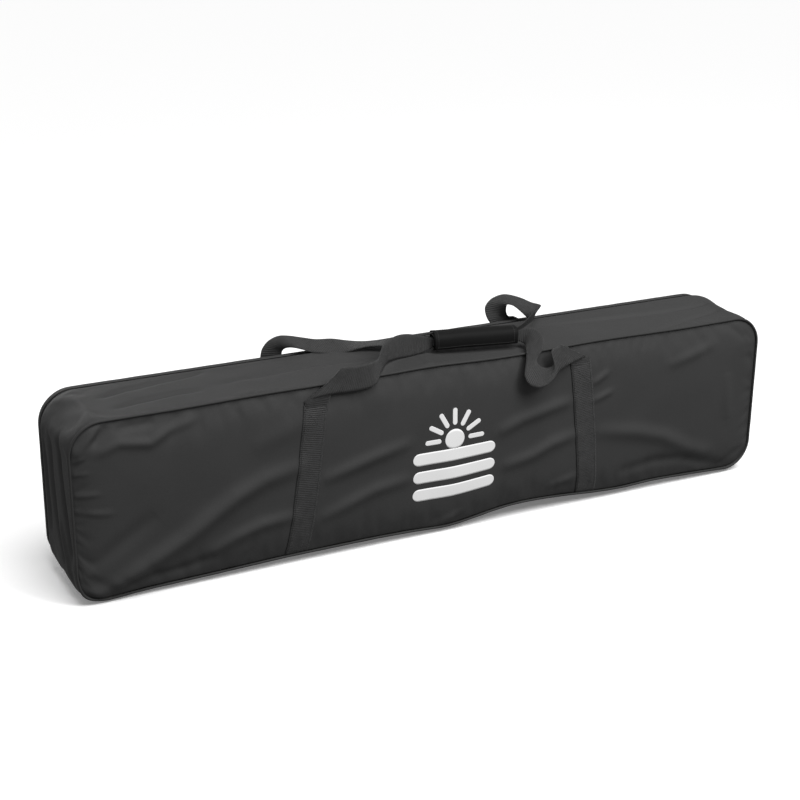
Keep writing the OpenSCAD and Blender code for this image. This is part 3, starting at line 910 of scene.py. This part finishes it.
def spline(points, steps):
    """Catmull-Rom curve through the points."""
    p = np.array(points, float)
    ends = np.vstack([2 * p[0] - p[1], p, 2 * p[-1] - p[-2]])
    out = []
    for k in range(1, len(ends) - 2):
        a, b, c, d = ends[k - 1], ends[k], ends[k + 1], ends[k + 2]
        for t in np.linspace(0, 1, steps, endpoint=False):
            out.append(0.5 * (2 * b + (c - a) * t + (2 * a - 5 * b + 4 * c - d) * t ** 2
                              + (3 * b - a - 3 * c + d) * t ** 3))
    out.append(p[-1])
    return np.array(out)


STITCH_R = 0.34 * MM
THREAD_PITCH = 3.0 * MM
EDGE_PITCH = 3.2 * MM


def stitches(name, rows):
    """Short raised stitches along rows; each row is (points, outward vectors, pitch)."""
    verts, faces = [], []
    around, shares = 6, [(-0.5, 0.25), (-0.3, 0.9), (0.3, 0.9), (0.5, 0.25)]
    one = grid_faces(len(shares), around, ring_columns=True)
    one += [tuple(range(around))[::-1], tuple(range(3 * around, 4 * around))]
    turn = np.linspace(0, 2 * math.pi, around, endpoint=False)
    for points, outward, pitch in rows:
        reach = np.concatenate([[0], np.cumsum(np.linalg.norm(np.diff(points, axis=0), axis=1))])
        for s in np.arange(pitch / 2, reach[-1] - pitch / 2, pitch):
            def at(q, table):
                return np.array([np.interp(q, reach, table[:, k]) for k in range(3)])
            way = unit(at(s + pitch / 3, points) - at(s - pitch / 3, points))
            up = unit(at(s, outward))
            side = unit(np.cross(way, up))
            middle = at(s, points)
            start = len(verts)
            for share, size in shares:
                lift = up * STITCH_R * (0.6 - 2.2 * share ** 2)
                for angle in turn:
                    verts.append(middle + way * pitch * 0.8 * share + lift
                                 + (side * math.cos(angle) + up * math.sin(angle)) * STITCH_R * size)
            faces += [tuple(i + start for i in f) for f in one]
    return add_mesh(name, verts, faces, THREAD)


def on_strap(grid, normal, u, v, lift):
    """Point on a strap's outer face; u runs down its length and v across, both 0 to 1."""
    i = u * (grid.shape[0] - 1)
    j = v * (grid.shape[1] - 1)
    i0, j0 = int(min(i, grid.shape[0] - 2)), int(min(j, grid.shape[1] - 2))
    fi, fj = i - i0, j - j0
    spot = (grid[i0, j0] * (1 - fi) * (1 - fj) + grid[i0 + 1, j0] * fi * (1 - fj)
            + grid[i0, j0 + 1] * (1 - fi) * fj + grid[i0 + 1, j0 + 1] * fi * fj)
    return spot + normal[i0, j0] * lift, normal[i0, j0]


STRAP_HALF = 19 * MM
STRAP_TOP_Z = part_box("front_strap_left")[1].z + 6 * MM
STRAP_FOOT_Z = SEAM_LOW + 1.5 * MM
# Middle of each strap at its top and at its foot
STRAPS = {"left": (-227 * MM, -259 * MM), "right": (237 * MM, 263 * MM)}


def strap_grid(side, top_x, foot_x, surface):
    share = np.linspace(0, 1, 121)
    across = np.linspace(-1, 1, 15)
    lean = math.atan2(top_x - foot_x, STRAP_TOP_Z - STRAP_FOOT_Z)
    middle_x = top_x + (foot_x - top_x) * share
    middle_z = STRAP_TOP_Z + (STRAP_FOOT_Z - STRAP_TOP_Z) * share
    x = middle_x[:, None] + across[None, :] * STRAP_HALF * math.cos(lean)
    level = 1 - smooth((share - 0.9) / 0.1)
    top_level = smooth(share / 0.1)
    z = middle_z[:, None] - across[None, :] * STRAP_HALF * math.sin(lean) * (level * top_level)[:, None]
    flat = sag(np.stack([x, np.full_like(x, side * SEAM_Y), z], axis=-1))
    y = np.array([
        [surface(px, pz, side) for px, pz in zip(rx, rz)]
        for rx, rz in zip(flat[..., 0], flat[..., 2])
    ])
    calm = y.copy()
    for _ in range(6):
        calm[1:-1] = (calm[:-2] + 2 * calm[1:-1] + calm[2:]) / 4
        calm[:, 1:-1] = (calm[:, :-2] + 2 * calm[:, 1:-1] + calm[:, 2:]) / 4
    proud = np.maximum(side * calm, side * y) + 0.35 * MM + WEBBING_T / 2
    tuck = 1.2 * MM * smooth((share - 0.97) / 0.03)
    flat[..., 1] = side * (proud - tuck[:, None])
    return flat


def strap_rows(grid, normal):
    """Two edge rows, and a crossed box of thread under the top of the strap."""
    rows = []
    lift = WEBBING_T / 2
    box_top, box_low = 0.03, 0.175

    def row(places, pitch):
        spots = [on_strap(grid, normal, u, v, lift) for u, v in places]
        rows.append((np.array([s[0] for s in spots]), np.array([s[1] for s in spots]), pitch))

    edges = (0.08, 0.92)
    for v in edges:
        row([(u, v) for u in np.linspace(0.02, 0.97, 60)], EDGE_PITCH)
    for u in (box_top, box_low):
        row([(u, v) for v in np.linspace(*edges, 8)], THREAD_PITCH)
    deep, wide = box_low - box_top, edges[1] - edges[0]
    share = np.linspace(0, 1, 12)
    row([(box_top + deep * t, edges[0] + wide * t) for t in share], THREAD_PITCH)
    row([(box_top + deep * t, edges[1] - wide * t) for t in share], THREAD_PITCH)
    return rows


strap_tops = {}
for side, body, prefix, surface in [(-1, "bag", "front", front_y), (1, "lid", "rear", rear_y)]:
    rows = []
    for hand, (top_x, foot_x) in STRAPS.items():
        grid = strap_grid(side, top_x, foot_x, surface)
        normal = grid_normals(grid)
        normal *= np.sign(side * normal[..., 1:2].mean())
        strap = slab(f"{prefix}_strap_{hand}_webbing", grid, normal, WEBBING_T, WEBBING, grid_lengths(grid))
        belongs(strap, body, "webbing", f"{prefix}_strap_{hand}")
        rows += strap_rows(grid, normal)
        strap_tops[prefix, hand] = float(grid[0, :, 1].mean())
    belongs(stitches(f"{prefix}_strap_thread", rows), body, "thread", f"{prefix}_strap_stitching")


# ---- Handles ----

# Middle of the webbing and the vector to one edge, in millimetres, from strap to wrap or wrap to strap
FRONT_LEFT = [
    ((-227, -80, 244), (19, 0, 0)), ((-224, -82, 260), (20, 0, 0)), ((-217, -84, 279), (26, -1, 16)),
    ((-203, -86, 287), (17, 0, 19)), ((-186, -87, 288), (9, 0, 19)), ((-163, -88, 288), (5, 1, 19)),
    ((-140, -87, 289), (4, 2, 19)), ((-124, -82, 292), (4, 5, 18)), ((-112, -70, 302), (3, 6, 16)),
    ((-99, -53, 304), (4, 8, 16)), ((-82, -37, 305), (5, 5, 17)), ((-61, -26, 304), (4, 4, 18)),
    ((-39, -21, 302), (2, 4, 17)), ((-17, -20, 300), (1, 3, 13)), ((4, -20.6, 300), (0, 0, 7)),
]
FRONT_RIGHT = [
    ((137, -46, 300), (0, 0, 7)), ((150, -53, 300), (3, 5, 11)), ((154, -65, 299), (13, 7, 12)),
    ((154, -79, 293), (17, 3, 9)), ((147, -90, 279), (17, 3, 8)), ((137, -97, 263), (14, 5, 10)),
    ((141, -102, 251), (12, 6, 12)), ((156, -104, 245), (10, 6, 13)), ((170, -104, 248), (7, 5, 13)),
    ((177, -102, 256), (1, 4, 14)), ((180, -99, 267), (-6, 3, 17)), ((201, -93, 273), (-8, 3, 16)),
    ((226, -86, 273), (-20, 0, 12)), ((236, -83, 260), (-19, 0, 2)), ((238, -80, 244), (-19, 0, 0)),
]
REAR_LEFT = [
    ((-227, 80, 244), (19, 0, 0)), ((-228, 83, 264), (19, 0, 0)), ((-228, 84, 280), (18, 0, -1)),
    ((-225, 84, 291), (16, -3, -3)), ((-217, 81, 299), (12, -9, -5)), ((-204, 77, 302), (8, -14, -7)),
    ((-190, 73, 300), (4, -17, -7)), ((-172, 69, 295), (1, -18, -7)), ((-152, 62, 292), (0, -19, -6)),
    ((-129, 55, 291), (0, -18, -7)), ((-106, 47, 292), (-1, -18, -2)), ((-86, 37, 294), (-2, -17, 1)),
    ((-64, 25, 296), (-3, -16, 0)), ((-42, 13, 298), (-3, -13, -4)), ((-18, 0, 299), (0, -6, -9)),
    ((4, -8.6, 300), (0, 0, -7)),
]
REAR_RIGHT = [
    ((139, -34, 300), (0, 0, 7)), ((160, -22, 303), (-2, -9, 9)), ((183, -4, 304), (-5, -12, 11)),
    ((206, 16, 304), (-6, -12, 12)), ((224, 36, 301), (-2, -10, 12)), ((230, 48, 301), (12, 0, 10)),
    ((221, 60, 307), (15, 9, 4)), ((210, 73, 314), (12, 14, 3)), ((198, 82, 317), (4, 18, 4)),
    ((187, 88, 314), (-4, 17, 2)), ((181, 90, 306), (-11, 14, 1)), ((180, 90, 296), (-15, 10, 1)),
    ((185, 88, 284), (-17, 4, -3)), ((200, 86, 272), (-13, 1, -13)), ((217, 84, 262), (-13, 0, -13)),
    ((231, 82, 258), (-18, 0, -4)), ((238, 80, 244), (-19, 0, 0)),
]
# Each loop's stations, then where it would stop following the bag or lid and where it would start following
# its handle; nothing reads these two
LOOPS = {
    ("front", "left"): (FRONT_LEFT, (-203, 0, 0), (-45, 0, 0)),
    ("front", "right"): (FRONT_RIGHT, (0, -97, 259), (0, -50, 296)),
    ("rear", "left"): (REAR_LEFT, (-217, 80, 262), (-190, 73, 305)),
    ("rear", "right"): (REAR_RIGHT, (0, 88, 272), (0, 60, 318)),
}

WRAP_MIDDLE = (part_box("handle_wrap")[0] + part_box("handle_wrap")[1]) / 2
WRAP_TURN = math.radians(-10.4)
WRAP_L = 138 * MM


def loop(prefix, hand, stations):
    points = [np.array([*c, *h], float) for c, h in stations]
    strap_end = 0 if hand == "left" else -1
    near = 1 if hand == "left" else -2
    shift = strap_tops[prefix, hand] / MM - points[strap_end][1]
    side = -1 if prefix == "front" else 1
    points[strap_end][1] += shift + side * 1.15 * WEBBING_T / MM
    points[near][1] += 0.7 * shift
    grid = ribbon_from(points)
    normal = grid_normals(grid)
    obj = slab(f"{prefix}_loop_{hand}_webbing", grid, normal, WEBBING_T, WEBBING, grid_lengths(grid))
    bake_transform(obj)
    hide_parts(f"{prefix}_loop_{hand}")


def ribbon_from(points, steps=7, columns=13):
    line = spline(points, steps) * MM
    share = np.linspace(-1, 1, columns)
    return line[:, None, :3] + line[:, None, 3:] * share[None, :, None]


for (prefix, hand), (stations, turn_start, turn_end) in LOOPS.items():
    loop(prefix, hand, stations)


def at_wrap(local):
    """From the wrap's own frame, along, across and up, to the row frame."""
    p = np.asarray(local, float)
    c, s = math.cos(WRAP_TURN), math.sin(WRAP_TURN)
    return np.stack([WRAP_MIDDLE.x + p[..., 0] * c - p[..., 1] * s,
                     WRAP_MIDDLE.y + p[..., 0] * s + p[..., 1] * c,
                     WRAP_MIDDLE.z + p[..., 2]], axis=-1)


def folded_bundle(prefix, side):
    """Webbing folded in three where it runs through the wrap."""
    gap, half = 1.75, 5.0
    path = []
    for layer in (-1, 0, 1):
        way = 1 if layer % 2 else -1
        path += [(layer * gap, way * t) for t in np.linspace(-half, half, 7)]
    path = spline(path, 2)
    along = np.linspace(-WRAP_L / 2 - 1 * MM, WRAP_L / 2 + 1 * MM, 40)
    local = np.zeros((len(along), len(path), 3))
    local[..., 0] = along[:, None]
    local[..., 1] = (side * 6 + path[None, :, 0]) * MM + 0.4 * MM * np.sin(along * 70)[:, None]
    local[..., 2] = path[None, :, 1] * MM
    grid = at_wrap(local)
    name = f"{prefix}_grip_bundle"
    obj = slab(name, grid, grid_normals(grid), 1.3 * MM, WEBBING, grid_lengths(grid))
    belongs(obj, f"{prefix}_handle", "webbing", f"{prefix}_grip")


folded_bundle("front", -1)
folded_bundle("rear", 1)


def wrap_sleeve():
    """Padded sleeve: a soft tube with turned-in ends."""
    wall = 3.2 * MM
    along = np.linspace(-1, 1, 61)
    turn = np.linspace(0, 2 * math.pi, 56, endpoint=False)
    rings = []
    power = 2 / 3.0
    for u in along:
        half_y = 14.5 * MM - 0.8 * MM * smooth((u + 0.2) / 1.2)
        half_z = 12.5 * MM - 1.8 * MM * smooth((u + 0.2) / 1.2)
        flare = 1 + 0.05 * smooth((-u - 0.75) / 0.25)
        cy, cz = np.cos(turn), np.sin(turn)
        y = half_y * np.sign(cy) * np.abs(cy) ** power * flare
        z = half_z * np.sign(cz) * np.abs(cz) ** power * flare
        rings.append(np.stack([np.full_like(y, u * WRAP_L / 2), y, z], axis=-1))
    outer = np.array(rings)
    crease = ripple(71, outer[..., 0], outer[..., 1] + outer[..., 2], 26 * MM, 0.45 * MM)
    centre_out = unit(outer * np.array([0, 1, 1]))
    outer = outer + centre_out * crease[..., None]
    inner = outer - centre_out * wall
    verts = np.concatenate([outer, inner[::-1]], axis=0)
    faces = grid_faces(verts.shape[0], verts.shape[1], ring_rows=True, ring_columns=True)
    reach = np.arange(verts.shape[0])[:, None] * WRAP_L / 60
    uvs = np.stack(np.broadcast_arrays(reach, (turn * 14 * MM)[None, :]), axis=-1)
    obj = add_mesh("handle_wrap_sleeve", at_wrap(verts), faces, WRAP, uvs)
    subdivide(obj)
    belongs(obj, "front_handle", "wrap_cloth", "handle_wrap")


wrap_sleeve()

# The flap's cross-section from its hinge over the top and down the front, (across, up) in millimetres
FLAP_PATH = [
    (13, 12.0), (9, 14.2), (2, 15.2), (-6, 14.8), (-12, 12.6),
    (-15.4, 8), (-16.4, 2), (-16.2, -4), (-15.4, -9),
]
FLAP_T = 2.0 * MM


def wrap_flap():
    path = spline(FLAP_PATH, 4)
    along = np.linspace(-1, 1, 70)
    local = np.zeros((len(along), len(path), 3))
    share = np.linspace(0, 1, len(path))
    narrow = 1 - 0.08 * smooth((along + 0.2) / 1.2)
    local[..., 0] = along[:, None] * WRAP_L / 2
    local[..., 1] = path[None, :, 0] * MM * narrow[:, None]
    local[..., 2] = path[None, :, 1] * MM - 1.2 * MM * smooth((along + 0.2) / 1.2)[:, None]
    tip = smooth((-along - 0.86) / 0.14)[:, None] * np.exp(-((share - 0.38) / 0.16) ** 2)[None, :]
    local[..., 2] += 3.2 * MM * tip
    local[..., 1] -= 1.0 * MM * tip
    crinkle = ripple(81, local[..., 0], local[..., 1], 30 * MM, 0.3 * MM)
    local[..., 2] += crinkle * smooth(share / 0.2)[None, :]
    grid = at_wrap(local)
    normal = grid_normals(grid)
    normal *= np.sign(normal[:, 3, 2].mean())
    obj = slab("wrap_flap_cloth", grid, normal, FLAP_T, WRAP, grid_lengths(grid))
    belongs(obj, "wrap_flap", "wrap_cloth", "wrap_flap")
    rows = []
    for j in (3, len(path) - 4):
        rows.append((grid[2:-2, j] + normal[2:-2, j] * FLAP_T / 2, normal[2:-2, j], THREAD_PITCH))
    for i in (3, len(along) - 4):
        rows.append((grid[i, 3:-3] + normal[i, 3:-3] * FLAP_T / 2, normal[i, 3:-3], THREAD_PITCH))
    belongs(stitches("wrap_flap_thread", rows), "wrap_flap", "thread")


wrap_flap()

for name in ["wrap_hook_strip", "wrap_loop_strip"]:
    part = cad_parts[name]
    part.data.materials.clear()
    part.data.materials.append(FUZZ)
    soften(part, 0.2 * MM)


# ---- Print ----

PRINT_X = 8 * MM
PRINT_Z = 72 * MM
BAR_L, BAR_W, BAR_PITCH = 146 * MM, 21 * MM, 31 * MM
LAMP_Z = PRINT_Z + 88 * MM
LAMP_R = 17 * MM
RAY_L, RAY_W, RAY_REACH = 28 * MM, 8 * MM, 38 * MM
RAYS = 7


def bar_patch(x0, z0, length, width, turn):
    """Flat bar with round ends as a grid."""
    half = width / 2
    ends = np.sin(np.linspace(0, math.pi / 2, 8))[1:]
    middle = np.linspace(-1, 1, max(int(length / (3 * MM)), 6))
    u = np.concatenate([-(length / 2 - half) - half * ends[::-1], middle * (length / 2 - half),
                        (length / 2 - half) + half * ends])
    over = np.clip((np.abs(u) - (length / 2 - half)) / half, 0, 0.998)
    reach = half * np.sqrt(1 - over ** 2)
    v = reach[:, None] * np.linspace(-1, 1, 9)[None, :]
    u = np.repeat(u[:, None], 9, axis=1)
    return x0 + u * math.cos(turn) - v * math.sin(turn), z0 + u * math.sin(turn) + v * math.cos(turn)


verts, faces = [], []
patches = [bar_patch(PRINT_X, PRINT_Z + row * BAR_PITCH, BAR_L, BAR_W, 0) for row in range(3)]
patches.append(bar_patch(PRINT_X, LAMP_Z, 2 * LAMP_R + 0.01 * MM, 2 * LAMP_R, 0))
for step in range(RAYS):
    turn = step * math.pi / (RAYS - 1)
    ray_x = PRINT_X + RAY_REACH * math.cos(turn)
    ray_z = LAMP_Z + RAY_REACH * math.sin(turn)
    patches.append(bar_patch(ray_x, ray_z, RAY_L, RAY_W, turn))
for px, pz in patches:
    faces += grid_faces(*px.shape, offset=len(verts))
    moved = sag(np.stack([px, np.full_like(px, -SEAM_Y), pz], axis=-1)).reshape(-1, 3)
    for q in moved:
        verts.append((q[0], front_y(q[0], q[2], -1) - 0.35 * MM, q[2]))
ink = add_mesh("front_print_ink", verts, [f[::-1] for f in faces], PRINT)
thicken(ink, 0.2 * MM)
belongs(ink, "bag", "print_ink", "front_print")


# ---- Floor, light and camera ----

floor_material, _, floor_shader = new_material("pale_floor")
floor_shader.inputs["Base Color"].default_value = (0.97, 0.97, 0.97, 1)
floor_shader.inputs["Roughness"].default_value = 0.9
floor_shader.inputs["Emission Color"].default_value = (1, 1, 1, 1)
floor_shader.inputs["Emission Strength"].default_value = 0.15
FLOOR = 60.0
floor = add_mesh("floor", [(-FLOOR, -FLOOR, 0), (FLOOR, -FLOOR, 0), (FLOOR, FLOOR, 0), (-FLOOR, FLOOR, 0)],
                 [(0, 1, 2, 3)], floor_material)
floor.visible_diffuse = False
floor.visible_glossy = False

world = bpy.data.worlds.new("studio")
world.use_nodes = True
world.node_tree.nodes["Background"].inputs["Color"].default_value = (1, 1, 1, 1)
world.node_tree.nodes["Background"].inputs["Strength"].default_value = 0.27
bpy.context.scene.world = world
bpy.context.scene.view_settings.view_transform = "Standard"


def soft_box(name, place, aim, size, power):
    light = bpy.data.lights.new(name, "AREA")
    light.shape = "SQUARE"
    light.size = size
    light.energy = power
    obj = bpy.data.objects.new(name, light)
    obj.location = place
    obj.rotation_euler = (Vector(aim) - Vector(place)).to_track_quat("-Z", "Y").to_euler()
    bpy.context.scene.collection.objects.link(obj)


def soft_sun(name, towards, strength, spread):
    light = bpy.data.lights.new(name, "SUN")
    light.energy = strength
    light.angle = math.radians(spread)
    obj = bpy.data.objects.new(name, light)
    obj.rotation_euler = Vector(towards).to_track_quat("-Z", "Y").to_euler()
    bpy.context.scene.collection.objects.link(obj)


soft_sun("key_light", (-0.05, 0.33, -0.93), 2.0, 30)
soft_box("front_light", (0.7, -1.5, 1.7), (0.15, -0.05, 0.15), 0.8, 27)
soft_box("back_light", (-0.6, 2.4, 0.9), (0, 0, 0.15), 1.2, 13)

CAMERA_PLACE = (-1.1292, -2.1346, 1.0954)
CAMERA_AZIMUTH, CAMERA_ELEVATION, CAMERA_ROLL = -26.953, 20.395, 0.3855
camera_data = bpy.data.cameras.new("camera")
camera_data.lens = 72.56
camera_data.sensor_width = 36
camera = bpy.data.objects.new("camera", camera_data)
bpy.context.scene.collection.objects.link(camera)
camera.location = CAMERA_PLACE
azimuth, elevation = math.radians(CAMERA_AZIMUTH), math.radians(CAMERA_ELEVATION)
ahead = Vector((
    -math.sin(azimuth) * math.cos(elevation),
    math.cos(azimuth) * math.cos(elevation),
    -math.sin(elevation),
))
camera.rotation_mode = "QUATERNION"
level = ahead.to_track_quat("-Z", "Y")
camera.rotation_quaternion = level @ Euler((0, 0, math.radians(CAMERA_ROLL))).to_quaternion()
bpy.context.scene.camera = camera
